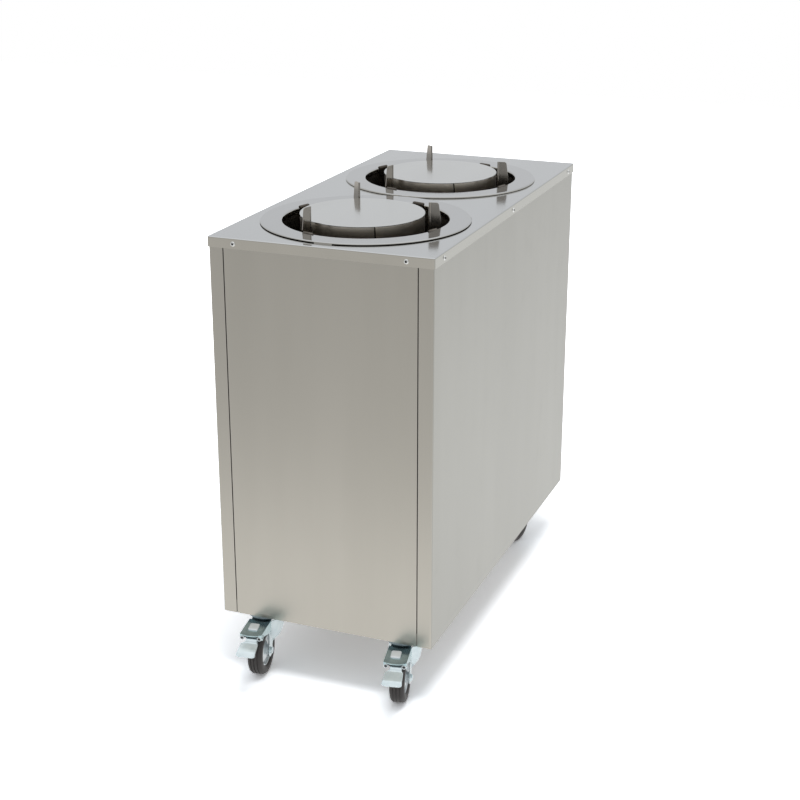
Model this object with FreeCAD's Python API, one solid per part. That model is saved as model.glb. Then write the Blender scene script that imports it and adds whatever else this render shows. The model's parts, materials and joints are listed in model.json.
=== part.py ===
import FreeCAD, Part
import math
import os

# Plate dispenser cart: a stainless cabinet on four casters with two spring loaded plate wells.
# Millimetres. X runs along the cart, Y across it, Z up. The floor is z = 0, and the origin
# lies on the floor under the middle of the whole cart, brake pedals included.
# "near" is the end at -X, "left" is the +Y side.

Vector = FreeCAD.Vector

# Cabinet
lid_top = 900.0
panel_clearance = 125.0
panel_sheet = 1.2
lid_sheet = 1.5
lid_gap = 0.5
skirt_height = 20.0
lid_edge_radius = 2.5
lid_corner_radius = 4.0
bend_radius = 4.0
return_width = 29.0
groove_width = 2.0
inner_flange = 15.0
top_flange = 18.0
base_sheet = 1.5
base_flange = 25.0
base_recess = 3.0
flange_relief = 1.0

# Lid screws, in from the cabinet's corners and down from the lid's top
screw_radius = 2.0
screw_length = 8.0
screw_head_radius = 5.0
screw_head_height = 2.4
screw_socket_radius = 1.7
screw_socket_depth = 1.3
screw_hole_gap = 0.1
screw_drop = 10.5
end_screw_inset = 52.0
side_screw_inset = 47.0

# Wells, and the lid's margins round their rings
ring_inner_radius = 161.0
ring_width = 43.0
ring_spacing_gap = 9.0
well_side_margin = 19.5
well_near_margin = 20.0
well_far_margin = 59.0
ring_sheet = 2.0
ring_lift = 1.8
ring_lip_sheet = 1.5
ring_lip_depth = 12.0
ring_tab_width = 36.0
ring_tab_depth = 8.0
tube_fit = 0.3
tube_sheet = 1.2
tube_bottom = 160.0
tube_shoulder_width = 18.0
lid_hole_gap = 3.0
floor_sheet = 1.5

# Spring channels on the tube wall
channel_angles = (-18.0, 72.0, 162.0, 252.0)
channel_width = 16.0
channel_depth = 13.0
channel_sheet = 1.2
channel_wall_gap = 0.3
channel_hook_rise = 2.5
channel_hook_width = 24.0
hanger_pin_radius = 2.0
hanger_pin_drop = 20.0
notch_width = 26.0
notch_depth = 5.0
spring_radius = 5.0

# Platform
platform_guide_gap = 8.0
platform_lift = 15.0
platform_near_shift = 7.0
platform_sheet = 2.0
platform_edge_radius = 0.9
skirt_band_height = 44.0
skirt_band_sheet = 1.5
skirt_band_inset = 0.8
seam_angle = 214.2
seam_width = 1.6
column_radius = 28.0
column_sheet = 2.0
carriage_height = 200.0
arm_width = 20.0
arm_sheet = 4.0
arm_tip_width = 8.0
glide_height = 14.0
glide_length = 12.0
glide_gap = 0.3

# Plate guides: three blades to each well, each on an upright pivot rod
guide_angles = (30.0, 150.0, 270.0)
guide_turn = 12.0
rear_guide_turn = 22.0
guide_width = 22.5
guide_top_width = 17.0
guide_sheet = 2.0
guide_bead_radius = 2.0
guide_lift = 45.0
guide_corner_radius = 5.0
pivot_radius = 4.0
pivot_wall_gap = 9.6
pivot_fit = 0.05
pivot_top_drop = 22.0
bracket_sheet = 3.0
bracket_width = 16.0
bracket_reach = 7.0
bracket_drop = 30.0
bracket_lower_height = 190.0
bracket_slot_margin = 3.0
running_gap = 0.3

# Casters
wheel_radius = 50.0
tyre_width = 30.0
tyre_shoulder = 4.0
tread_groove_width = 2.0
tread_groove_depth = 1.5
rim_radius = 32.0
rim_width = 23.0
rim_lip = 2.5
rim_groove = 3.5
rim_groove_depth = 6.0
rim_disc_edge = 8.5
hub_radius = 11.0
hub_shoulder = 13.0
axle_radius = 4.0
axle_fit = 0.05
axle_head_radius = 7.5
axle_head_height = 4.0
caster_trail = 40.0
caster_plate_length = 82.0
caster_plate_width = 105.0
caster_plate_sheet = 3.0
caster_plate_corner = 8.0
caster_bolt_x = 60.0
caster_bolt_y = 80.0
bolt_radius = 4.0
bolt_hole_gap = 0.2
bolt_head_radius = 6.5
bolt_head_height = 5.0
race_radius = 38.5
race_height = 7.0
race_gap = 0.3
crown_sheet = 2.5
crown_back = 22.0
crown_front = 58.0
crown_rise = 3.7
shoulder_height = 40.0
shoulder_foot = 3.0
fork_gap = 35.0
fork_sheet = 2.5
fork_foot_radius = 13.0
kingpin_radius = 6.0
kingpin_head_radius = 11.0
kingpin_head_height = 4.0
near_inset = 43.0
far_inset = 72.0
caster_side_inset = 73.5
near_left_heading = 8.7
near_right_heading = 11.8
far_left_heading = -4.0
far_right_heading = -10.0
caster_beam_width = 80.0
caster_beam_height = 20.0
caster_beam_sheet = 2.0

# Brakes on the two near casters
cover_sheet = 2.0
cover_back_gap = 1.5
cover_front = 106.0
cover_cheek_gap = 0.4
cover_cheek_depth = 19.0
cover_nose_depth = 5.0
cover_tab_width = 22.0
cover_tab_length = 24.0
cover_tab_height = 3.0
cover_tab_setback = 16.0
cover_tab_side = 3.0
ear_radius = 6.0
pedal_pin_radius = 2.5
pedal_pin_fit = 0.05
pedal_pin_back = 9.0
pedal_pin_drop = 8.0
pedal_sheet = 2.5
pedal_neck_width = 23.0
pedal_neck_side = -2.5
pedal_width = 40.0
pedal_fold_out = 5.0
pedal_fold_drop = 14.5
pedal_crease_out = 30.0
pedal_crease_drop = 22.5
pedal_reach = 144.0
pedal_tip_drop = 28.5
shoe_width = 14.0
shoe_sheet = 9.0
shoe_gap = 0.6

# Worked out heights and places
lid_underside = lid_top - lid_sheet
base_underside = panel_clearance + base_recess
base_top = base_underside + base_sheet
lid_overhang = lid_sheet + lid_gap
ring_outer_radius = ring_inner_radius + ring_width
well_spacing = 2 * ring_outer_radius + ring_spacing_gap
body_width = 2 * (ring_outer_radius + well_side_margin)
body_length = 2 * ring_outer_radius + well_spacing + well_near_margin + well_far_margin
ring_top = lid_top + ring_lift + ring_sheet
ring_underside = ring_top - ring_sheet
tube_inner_radius = ring_inner_radius + ring_lip_sheet + tube_fit
tube_outer_radius = tube_inner_radius + tube_sheet
floor_top = tube_bottom + floor_sheet
platform_top = lid_top + platform_lift
arm_bottom = platform_top - carriage_height
arm_top = arm_bottom + arm_sheet
channel_outer_radius = tube_inner_radius - channel_wall_gap
channel_top = ring_top - ring_lip_depth - ring_sheet
spring_circle = channel_outer_radius - channel_sheet - spring_radius - 1.0
glide_top = arm_bottom + (arm_sheet + glide_height) / 2
pin_height = channel_top - hanger_pin_drop
pivot_circle = tube_inner_radius - pivot_wall_gap
guide_top = lid_top + guide_lift
bracket_top = ring_top - bracket_drop
guide_bottom = bracket_lower_height + bracket_sheet + running_gap
axle_height = wheel_radius
plate_underside = base_underside - caster_plate_sheet
race_underside = plate_underside - race_height
crown_top = race_underside - race_gap
crown_plate_top = crown_top - crown_rise
crown_bottom = crown_plate_top - crown_sheet
cover_top = crown_plate_top + cover_sheet
fork_outer = fork_gap / 2 + fork_sheet
cover_back = race_radius + cover_back_gap
cover_half = fork_outer + cover_cheek_gap + cover_sheet
pin_ahead = cover_front - pedal_pin_back
pin_level = cover_top - pedal_pin_drop

# The blade's inner edge, from its pivot rod and how far it is turned out of the radius
blade_turn = math.radians(guide_turn)
blade_lead = math.asin(guide_width * math.sin(blade_turn) / pivot_circle)
guide_inner_radius = pivot_circle * math.cos(blade_lead) - guide_width * math.cos(blade_turn)
platform_radius = guide_inner_radius - guide_bead_radius - platform_guide_gap

# A brake pedal reaches past the near end, and a screw head on the skirt ends the far end.
pedal_heading = math.radians(near_right_heading)
pedal_overreach = (pedal_reach * math.cos(pedal_heading)
                   + pedal_width / 2 * math.sin(pedal_heading) - near_inset)
cabinet_x = (pedal_overreach - lid_overhang - screw_head_height) / 2
near_end = cabinet_x - body_length / 2
far_end = cabinet_x + body_length / 2
side_face = body_width / 2
caster_y = side_face - caster_side_inset
near_well_x = near_end + well_near_margin + ring_outer_radius
well_places = {"near": near_well_x, "far": near_well_x + well_spacing}
guide_turns = (rear_guide_turn, guide_turn, guide_turn)
platform_shifts = {"near": platform_near_shift, "far": 0.0}
caster_places = {
    "near_left": (near_end + near_inset, caster_y, near_left_heading),
    "near_right": (near_end + near_inset, -caster_y, near_right_heading),
    "far_left": (far_end - far_inset, caster_y, far_left_heading),
    "far_right": (far_end - far_inset, -caster_y, far_right_heading),
}
braked_casters = ("near_left", "near_right")

os.makedirs("parts", exist_ok=True)
pieces = {}


def block(x0, x1, y0, y1, z0, z1):
    return Part.makeBox(x1 - x0, y1 - y0, z1 - z0, Vector(x0, y0, z0))


def rod(radius, start, end):
    along = end - start
    return Part.makeCylinder(radius, along.Length, start, along)


def collar(inner, outer, z0, z1):
    solid = Part.makeCylinder(outer, z1 - z0, Vector(0, 0, z0))
    return solid.cut(Part.makeCylinder(inner, z1 - z0, Vector(0, 0, z0)))


def side_outline(points, y0, y1):
    """A prism whose outline is drawn in the XZ plane, between two widths."""
    corners = [Vector(x, y0, z) for x, z in points]
    face = Part.Face(Part.makePolygon(corners + corners[:1]))
    return face.extrude(Vector(0, y1 - y0, 0))


def hexagon(radius, height, base):
    corners = [base + Vector(radius * math.cos(math.radians(60 * k)),
                             radius * math.sin(math.radians(60 * k)), 0) for k in range(6)]
    return Part.Face(Part.makePolygon(corners + corners[:1])).extrude(Vector(0, 0, height))


def turned(shape, angle):
    copy = shape.copy()
    copy.rotate(Vector(0, 0, 0), Vector(0, 0, 1), angle)
    return copy


def moved(shape, x, y=0.0, z=0.0):
    copy = shape.copy()
    copy.translate(Vector(x, y, z))
    return copy


def mirrored_x(shape):
    return shape.mirror(Vector(cabinet_x, 0, 0), Vector(1, 0, 0))


def mirrored_y(shape):
    return shape.mirror(Vector(0, 0, 0), Vector(0, 1, 0))


def rounded(shape, radius, chosen):
    return shape.makeFillet(radius, [edge for edge in shape.Edges if chosen(edge)])


def upright(edge):
    low, high = edge.BoundBox.ZMin, edge.BoundBox.ZMax
    return high - low > 0.01 and edge.BoundBox.XLength < 0.01 and edge.BoundBox.YLength < 0.01


# Lid screws

def screw_places():
    """Each screw's point on the skirt and the way its head looks."""
    height = lid_top - screw_drop
    end_y = side_face - end_screw_inset
    side_x = body_length / 2 - side_screw_inset
    places = []
    for sign in (-1, 1):
        skirt_x = cabinet_x + sign * (body_length / 2 + lid_overhang)
        for y in (-end_y, end_y):
            places.append((Vector(skirt_x, y, height), Vector(sign, 0, 0)))
        skirt_y = sign * (side_face + lid_overhang)
        for x in (-side_x, 0, side_x):
            places.append((Vector(cabinet_x + x, skirt_y, height), Vector(0, sign, 0)))
    return places


def facing(shape, place, outward):
    copy = shape.copy()
    copy.Placement = FreeCAD.Placement(place, FreeCAD.Rotation(Vector(0, 0, 1), outward))
    return copy


def screw_hole():
    return Part.makeCylinder(screw_radius + screw_hole_gap, screw_length * 2,
                             Vector(0, 0, -screw_length))


def lid_screw():
    head = Part.makeCylinder(screw_head_radius, screw_head_height)
    head = rounded(head, screw_head_height / 2, lambda edge: edge.BoundBox.ZMin > 0.01
                   and edge.Length > screw_head_radius * 4)
    socket = hexagon(screw_socket_radius, screw_socket_depth,
                     Vector(0, 0, screw_head_height - screw_socket_depth))
    shank = Part.makeCylinder(screw_radius, screw_length, Vector(0, 0, -screw_length))
    return head.cut(socket).fuse(shank)


screw_holes = [facing(screw_hole(), place, outward) for place, outward in screw_places()]
pieces["lid_screws"] = Part.makeCompound(
    [facing(lid_screw(), place, outward) for place, outward in screw_places()])


# Cabinet

def lid_panel():
    outer_x = body_length / 2 + lid_overhang
    outer_y = side_face + lid_overhang
    shell = block(cabinet_x - outer_x, cabinet_x + outer_x, -outer_y, outer_y,
                  lid_top - skirt_height, lid_top)
    shell = rounded(shell, lid_corner_radius, upright)
    shell = rounded(shell, lid_edge_radius, lambda edge: edge.BoundBox.ZMin > lid_top - 0.01)
    inner_x = outer_x - lid_sheet
    inner_y = outer_y - lid_sheet
    shell = shell.cut(block(cabinet_x - inner_x, cabinet_x + inner_x, -inner_y, inner_y,
                            lid_top - skirt_height, lid_underside))
    for x in well_places.values():
        shell = shell.cut(Part.makeCylinder(tube_outer_radius + lid_hole_gap, lid_sheet,
                                            Vector(x, 0, lid_underside)))
    return shell.cut(screw_holes)


def side_panel():
    """The right side panel, folded round both ends of the cabinet."""
    low, high = panel_clearance, lid_underside
    flange_low = base_underside + base_flange + flange_relief
    web = block(near_end, far_end, -side_face, -side_face + panel_sheet, low, high)
    inner_edge = -side_face + return_width
    parts = []
    for face, inward in ((near_end, 1), (far_end, -1)):
        sheet_x = sorted((face, face + inward * panel_sheet))
        flange_x = sorted((face, face + inward * inner_flange))
        parts.append(block(*sheet_x, -side_face, inner_edge, low, high))
        parts.append(block(*flange_x, inner_edge - panel_sheet, inner_edge, flange_low, high))
    parts.append(block(near_end + panel_sheet, far_end - panel_sheet, -side_face,
                       -side_face + top_flange, high - panel_sheet, high))
    panel = web.fuse(parts).removeSplitter()
    skin = -side_face + 0.01
    panel = rounded(panel, bend_radius, lambda edge: upright(edge)
                    and edge.BoundBox.YMax < skin)
    return panel.cut(screw_holes)


def end_panel():
    """The near end panel, set between the side panels' folds with a groove each side."""
    low, high = panel_clearance, lid_underside
    flange_low = base_underside + base_flange + flange_relief
    half = side_face - return_width - groove_width
    web = block(near_end, near_end + panel_sheet, -half, half, low, high)
    parts = []
    for y0, y1 in ((-half, -half + panel_sheet), (half - panel_sheet, half)):
        parts.append(block(near_end, near_end + inner_flange, y0, y1, flange_low, high))
    parts.append(block(near_end, near_end + top_flange, -half, half, high - panel_sheet, high))
    return web.fuse(parts).removeSplitter()


def bolt_places(x, y):
    return [(x + sx * caster_bolt_x / 2, y + sy * caster_bolt_y / 2)
            for sx in (-1, 1) for sy in (-1, 1)]


def bolt_holes():
    cuts = []
    for x, y, heading in caster_places.values():
        for bolt_x, bolt_y in bolt_places(x, y):
            cuts.append(Part.makeCylinder(bolt_radius + bolt_hole_gap, base_underside,
                                          Vector(bolt_x, bolt_y, plate_underside)))
    return cuts


def base_pan():
    x0, x1 = near_end + panel_sheet, far_end - panel_sheet
    y1 = side_face - panel_sheet
    pan = block(x0, x1, -y1, y1, base_underside, base_underside + base_flange)
    inside = block(x0 + base_sheet, x1 - base_sheet, -y1 + base_sheet, y1 - base_sheet,
                   base_top, base_underside + base_flange)
    return pan.cut(inside).cut(bolt_holes())


def caster_beam(x):
    half = caster_beam_width / 2
    reach = side_face - panel_sheet - base_sheet
    top = base_top + caster_beam_height
    beam = block(x - half, x + half, -reach, reach, base_top, top)
    inside = block(x - half + caster_beam_sheet, x + half - caster_beam_sheet, -reach, reach,
                   base_top + caster_beam_sheet, top)
    return beam.cut(inside).cut(bolt_holes())


right_side = side_panel()
near_panel = end_panel()
pieces["lid_panel"] = lid_panel()
pieces["side_panel_right"] = right_side
pieces["side_panel_left"] = mirrored_y(right_side)
pieces["end_panel_near"] = near_panel.cut(screw_holes)
pieces["end_panel_far"] = mirrored_x(near_panel).cut(screw_holes)
pieces["base_pan"] = base_pan()
pieces["caster_beam_near"] = caster_beam(near_end + near_inset)
pieces["caster_beam_far"] = caster_beam(far_end - far_inset)


def caster_bolt():
    """A bolt up through plate, base and beam, and the nut on top."""
    beam_floor = base_top + caster_beam_sheet
    length = beam_floor + bolt_head_height + 2 - plate_underside
    bolt = hexagon(bolt_head_radius, bolt_head_height,
                   Vector(0, 0, plate_underside - bolt_head_height))
    bolt = bolt.fuse(Part.makeCylinder(bolt_radius, length, Vector(0, 0, plate_underside)))
    nut = hexagon(bolt_head_radius, bolt_head_height, Vector(0, 0, beam_floor))
    nut = nut.cut(Part.makeCylinder(bolt_radius, bolt_head_height, Vector(0, 0, beam_floor)))
    return [bolt, nut]


bolt_solids = []
for caster_x, side_y, heading in caster_places.values():
    for bolt_x, bolt_y in bolt_places(caster_x, side_y):
        bolt_solids += [moved(solid, bolt_x, bolt_y) for solid in caster_bolt()]
pieces["caster_bolts"] = Part.makeCompound(bolt_solids)


# Wells, each built round the Z axis and then moved to its place

def well_ring():
    """The wide flange round a well, with a lip down into the tube and two seating tabs."""
    ring = collar(ring_inner_radius, ring_outer_radius, ring_underside, ring_top)
    ring = rounded(ring, ring_sheet * 0.4, lambda edge: edge.BoundBox.XLength
                   > ring_outer_radius * 1.9 or edge.BoundBox.ZMin > ring_top - 0.01)
    ring = ring.fuse(collar(ring_inner_radius + 0.8, ring_inner_radius + ring_lip_sheet,
                            ring_top - ring_sheet - ring_lip_depth, ring_underside))
    for sign in (-1, 1):
        tab_x = sorted((sign * (ring_outer_radius - 1), sign * (ring_outer_radius
                                                                - 1 - ring_tab_depth)))
        ring = ring.fuse(block(*tab_x, -ring_tab_width / 2, ring_tab_width / 2,
                               lid_top, ring_underside))
    for angle in channel_angles:
        notch = block(ring_inner_radius - 2, ring_inner_radius + notch_depth,
                      -notch_width / 2, notch_width / 2, channel_top - 1, ring_top)
        ring = ring.cut(turned(notch, angle))
    return ring.removeSplitter()


def well_tube():
    """The well's round wall, with the shoulder that hangs it from the lid."""
    tube = collar(tube_inner_radius, tube_outer_radius, tube_bottom, ring_underside)
    shoulder = collar(tube_inner_radius, tube_outer_radius + tube_shoulder_width,
                      lid_top, lid_top + lid_sheet)
    return tube.fuse(shoulder).removeSplitter()


def well_floor():
    return Part.makeCylinder(tube_inner_radius - tube_fit, floor_sheet,
                             Vector(0, 0, tube_bottom))


def spring_channel():
    """An open channel on the wall, hooked over the tube's rim, with a pin for the spring."""
    outer, inner = channel_outer_radius, channel_outer_radius - channel_depth
    half = channel_width / 2
    channel = block(inner, outer, -half, half, floor_top, channel_top)
    channel = channel.cut(block(inner, outer - channel_sheet, -half + channel_sheet,
                                half - channel_sheet, floor_top, channel_top))
    rise = ring_top + channel_hook_rise
    neck = block(outer - channel_sheet, outer, -half, half, channel_top, rise)
    hook = block(outer, tube_outer_radius + channel_sheet, -channel_hook_width / 2,
                 channel_hook_width / 2, ring_underside, rise)
    hook = rounded(hook, channel_hook_rise, lambda edge: edge.BoundBox.ZMin > rise - 0.01
                   and edge.BoundBox.XMin > outer + 0.01)
    pin = rod(hanger_pin_radius, Vector(spring_circle, -half + 0.5, pin_height),
              Vector(spring_circle, half - 0.5, pin_height))
    return channel.fuse([neck, hook, pin]).removeSplitter()


def guide_bracket(low):
    """A lug on the tube wall that holds a guide's pivot rod."""
    lug = block(pivot_circle - bracket_reach, tube_inner_radius + tube_sheet,
                -bracket_width / 2, bracket_width / 2, low, low + bracket_sheet)
    lug = lug.common(Part.makeCylinder(tube_inner_radius, bracket_sheet, Vector(0, 0, low)))
    return lug.cut(Part.makeCylinder(pivot_radius + pivot_fit, bracket_sheet,
                                     Vector(pivot_circle, 0, low)))


def spring():
    length = pin_height - hanger_pin_radius - glide_top
    return Part.makeCylinder(spring_radius, length, Vector(spring_circle, 0, glide_top))


def guide():
    """A blade with a beaded inner edge, welded to its pivot rod, pointing from the rod to -X."""
    corner = guide_corner_radius
    top_out = -guide_width + guide_top_width
    wall = guide_sheet / 2
    slot_low = bracket_top - bracket_sheet - bracket_slot_margin
    slot_high = bracket_top + bracket_slot_margin
    slot_in = -(bracket_reach + bracket_slot_margin + 1)
    outline = [(-guide_width, guide_bottom), (0, guide_bottom), (0, slot_low),
               (slot_in, slot_low), (slot_in, slot_high), (0, slot_high), (0, ring_top),
               (top_out, guide_top), (-guide_width, guide_top)]
    blade = side_outline(outline, -wall, wall)
    blade = rounded(blade, corner, lambda edge: edge.BoundBox.ZMin > guide_top - 0.01
                    and edge.BoundBox.XMin > top_out - 0.01)
    bead = rod(guide_bead_radius, Vector(-guide_width, 0, guide_bottom),
               Vector(-guide_width, 0, guide_top))
    pivot = rod(pivot_radius, Vector(0, 0, bracket_lower_height - bracket_sheet),
                Vector(0, 0, ring_top - pivot_top_drop))
    return blade.fuse([bead, pivot]).removeSplitter()


def platform_disc():
    disc = Part.makeCylinder(platform_radius, platform_sheet,
                             Vector(0, 0, platform_top - platform_sheet))
    return rounded(disc, platform_edge_radius, lambda edge: edge.Length > platform_radius * 6)


def platform_skirt():
    outer = platform_radius - skirt_band_inset
    high = platform_top - platform_sheet
    band = collar(outer - skirt_band_sheet, outer, high - skirt_band_height, high)
    seam = block(outer - 2 * skirt_band_sheet, outer + 1, -seam_width / 2, seam_width / 2,
                 high - skirt_band_height, high)
    return band.cut(turned(seam, seam_angle))


def glide_reach():
    return channel_outer_radius - channel_sheet - glide_gap


def carriage():
    """Two crossed bars whose narrow tips run into the glides, and the column above them."""
    inner = glide_reach() - glide_length
    bars = []
    for angle in channel_angles[:2]:
        bar = block(-inner, inner, -arm_width / 2, arm_width / 2, arm_bottom, arm_top)
        tip = block(-glide_reach() + 2, glide_reach() - 2, -arm_tip_width / 2,
                    arm_tip_width / 2, arm_bottom, arm_top)
        bars.append(turned(bar.fuse(tip), angle))
    column = collar(column_radius - column_sheet, column_radius, arm_top,
                    platform_top - platform_sheet)
    return bars[0].fuse([bars[1], column]).removeSplitter()


def glide():
    half = channel_width / 2 - channel_sheet - glide_gap
    low = glide_top - glide_height
    body = block(glide_reach() - glide_length, glide_reach(), -half, half, low, glide_top)
    return body.cut(block(glide_reach() - glide_length, glide_reach() - 2, -arm_tip_width / 2,
                          arm_tip_width / 2, arm_bottom, arm_top))


def around(shape, angles, x):
    return Part.makeCompound([moved(turned(shape, angle), x) for angle in angles])


for end, well_x in well_places.items():
    pieces["well_ring_" + end] = moved(well_ring(), well_x)
    pieces["well_tube_" + end] = moved(well_tube(), well_x)
    pieces["well_floor_" + end] = moved(well_floor(), well_x)
    pieces["spring_channels_" + end] = around(spring_channel(), channel_angles, well_x)
    pieces["springs_" + end] = around(spring(), channel_angles, well_x)
    pieces["platform_disc_" + end] = moved(platform_disc(), well_x, platform_shifts[end])
    pieces["platform_skirt_" + end] = moved(platform_skirt(), well_x, platform_shifts[end])
    pieces["carriage_" + end] = moved(carriage(), well_x)
    pieces["glides_" + end] = around(glide(), channel_angles, well_x)
    lead_angles = [angle + math.degrees(blade_lead) for angle in guide_angles]
    lugs = [moved(turned(guide_bracket(low), angle), well_x) for angle in lead_angles
            for low in (bracket_top - bracket_sheet, bracket_lower_height)]
    pieces["guide_brackets_" + end] = Part.makeCompound(lugs)
    for number, angle in enumerate(guide_angles, 1):
        lead = math.radians(angle) + blade_lead
        blade = turned(guide(), angle + guide_turns[number - 1])
        pieces["guide_%s_%d" % (end, number)] = moved(
            blade, well_x + pivot_circle * math.cos(lead), pivot_circle * math.sin(lead))


# Casters, each built with its swivel axis on Z and trailing to -X

def caster_plate():
    """The top plate with its bearing dome, and the kingpin riveted into it."""
    half_x, half_y = caster_plate_length / 2, caster_plate_width / 2
    plate = block(-half_x, half_x, -half_y, half_y, plate_underside, base_underside)
    plate = rounded(plate, caster_plate_corner, upright)
    for x, y in bolt_places(0, 0):
        plate = plate.cut(Part.makeCylinder(bolt_radius + bolt_hole_gap, caster_plate_sheet,
                                            Vector(x, y, plate_underside)))
    race = Part.makeCone(race_radius, race_radius - 2, race_height,
                         Vector(0, 0, race_underside))
    head_top = crown_bottom - race_gap
    pin = Part.makeCylinder(kingpin_radius, plate_underside - head_top, Vector(0, 0, head_top))
    head = Part.makeCone(kingpin_head_radius - 3, kingpin_head_radius, kingpin_head_height,
                         Vector(0, 0, head_top - kingpin_head_height))
    return plate.fuse([race, pin, head]).removeSplitter()


def fork():
    """The crown, its round shoulder, and the two legs that carry the axle."""
    top = race_radius - 1
    crown = block(-crown_front, 0, -fork_outer, fork_outer, crown_bottom, crown_plate_top)
    crown = crown.fuse(Part.makeCone(top, top - 2, crown_rise, Vector(0, 0, crown_plate_top)))
    crown = crown.fuse(Part.makeCylinder(top, crown_sheet, Vector(0, 0, crown_bottom)))
    low = crown_bottom - shoulder_height
    foot_radius = fork_outer + shoulder_foot
    shoulder = Part.makeCone(foot_radius, top, shoulder_height, Vector(0, 0, low))
    hollow = Part.makeCone(foot_radius - fork_sheet, top - fork_sheet, shoulder_height,
                           Vector(0, 0, low))
    shoulder = shoulder.cut(hollow)
    boss = Part.makeCylinder(fork_foot_radius, 2 * fork_outer,
                             Vector(-caster_trail, -fork_outer, axle_height), Vector(0, 1, 0))
    shin = -caster_trail + fork_foot_radius
    outline = [(-crown_front, crown_bottom), (-caster_trail - fork_foot_radius, axle_height),
               (shin, axle_height), (crown_back, low), (crown_back, crown_bottom)]
    legs = side_outline(outline, -fork_outer, fork_outer).fuse(boss)
    gap = block(-crown_front - fork_foot_radius, race_radius, -fork_gap / 2, fork_gap / 2,
                0, crown_bottom)
    frame = crown.fuse([legs, shoulder]).cut(gap)
    axle_hole = Part.makeCylinder(axle_radius + axle_fit, 2 * fork_outer,
                                  Vector(-caster_trail, -fork_outer, axle_height),
                                  Vector(0, 1, 0))
    pin_hole = Part.makeCylinder(kingpin_radius + axle_fit, crown_top - crown_bottom,
                                 Vector(0, 0, crown_bottom))
    return frame.cut([axle_hole, pin_hole]).removeSplitter()


def axle():
    """The axle bolt with its head to the right and its nut to the left."""
    ends = fork_outer + axle_head_height
    bolt = rod(axle_radius, Vector(0, 0, -ends), Vector(0, 0, ends))
    head = hexagon(axle_head_radius, axle_head_height, Vector(0, 0, fork_outer))
    nut = hexagon(axle_head_radius, axle_head_height, Vector(0, 0, -ends))
    bolt = bolt.fuse([head, nut])
    bolt.rotate(Vector(0, 0, 0), Vector(1, 0, 0), 90)
    return moved(bolt, -caster_trail, 0, axle_height)


def spun(points):
    """A ring turned about the wheel's axle from (radius, width) points of its section."""
    corners = [Vector(radius, along, 0) for radius, along in points]
    ring = Part.Face(Part.makePolygon(corners + corners[:1]))
    ring = ring.revolve(Vector(0, 0, 0), Vector(0, 1, 0), 360)
    return moved(ring, -caster_trail, 0, axle_height)


def tyre():
    half = tyre_width / 2
    groove = tread_groove_width / 2
    tread = wheel_radius - tread_groove_depth
    crown = wheel_radius - tyre_shoulder * 0.25
    section = [(rim_radius, -rim_width / 2), (rim_radius + 3, -half), (tread - tyre_shoulder, -half),
               (crown, -half + tyre_shoulder), (wheel_radius, -half + 2 * tyre_shoulder),
               (wheel_radius, -groove), (tread, -groove)]
    section += [(radius, -along) for radius, along in reversed(section)]
    return spun(section)


def rim():
    """The steel rim: a lip under the tyre, a groove, a coned disc and the hub."""
    half_hub = fork_gap / 2 - running_gap
    half_rim = rim_width / 2
    lip = rim_radius - rim_lip
    bore = axle_radius + axle_fit
    section = [(bore, -half_hub), (hub_radius, -half_hub), (hub_radius, -hub_shoulder),
               (hub_radius + 2, -hub_shoulder), (lip - rim_groove, -rim_disc_edge),
               (lip - rim_groove, -half_rim + rim_groove_depth),
               (lip, -half_rim + rim_groove_depth), (lip, -half_rim), (rim_radius, -half_rim)]
    section += [(radius, -along) for radius, along in reversed(section)]
    return spun(section)


def pedal_pin_place(y):
    return Vector(-pin_ahead, y, pin_level)


def brake_cover():
    """The plate over the wheel: cheeks beside the fork, a raised tab and the pin's ears."""
    half = cover_half
    front, back = -cover_front, -cover_back
    cover = block(front, back, -half, half, cover_top - cover_sheet, cover_top)
    cheek = [(back, cover_top), (front, cover_top), (front, cover_top - cover_nose_depth),
             (-crown_front, cover_top - cover_cheek_depth),
             (back, cover_top - cover_cheek_depth)]
    parts = []
    for y0, y1 in ((-half, -half + cover_sheet), (half - cover_sheet, half)):
        parts.append(side_outline(cheek, y0, y1))
        parts.append(rod(ear_radius, pedal_pin_place(y0), pedal_pin_place(y1)))
    tab_x = front + cover_tab_setback
    tab = block(tab_x, tab_x + cover_tab_length, cover_tab_side - cover_tab_width / 2,
                cover_tab_side + cover_tab_width / 2, cover_top - cover_sheet,
                cover_top + cover_tab_height)
    tab = rounded(tab, cover_tab_height * 0.8,
                  lambda edge: edge.BoundBox.ZMin > cover_top + cover_tab_height - 0.01)
    hole = rod(pedal_pin_radius + pedal_pin_fit, pedal_pin_place(-half), pedal_pin_place(half))
    return cover.fuse(parts + [tab]).cut(hole).removeSplitter()


def band(points, thickness, y0, y1):
    """A bent strip: a run of flat plates along points in the XZ plane."""
    strips = []
    for (x0, z0), (x1, z1) in zip(points, points[1:]):
        length = math.hypot(x1 - x0, z1 - z0)
        nx, nz = (z1 - z0) / length * thickness / 2, -(x1 - x0) / length * thickness / 2
        strips.append(side_outline([(x0 + nx, z0 + nz), (x1 + nx, z1 + nz), (x1 - nx, z1 - nz),
                                    (x0 - nx, z0 - nz)], y0, y1))
    for x, z in points[1:-1]:
        strips.append(rod(thickness / 2, Vector(x, y0, z), Vector(x, y1, z)))
    return strips


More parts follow.
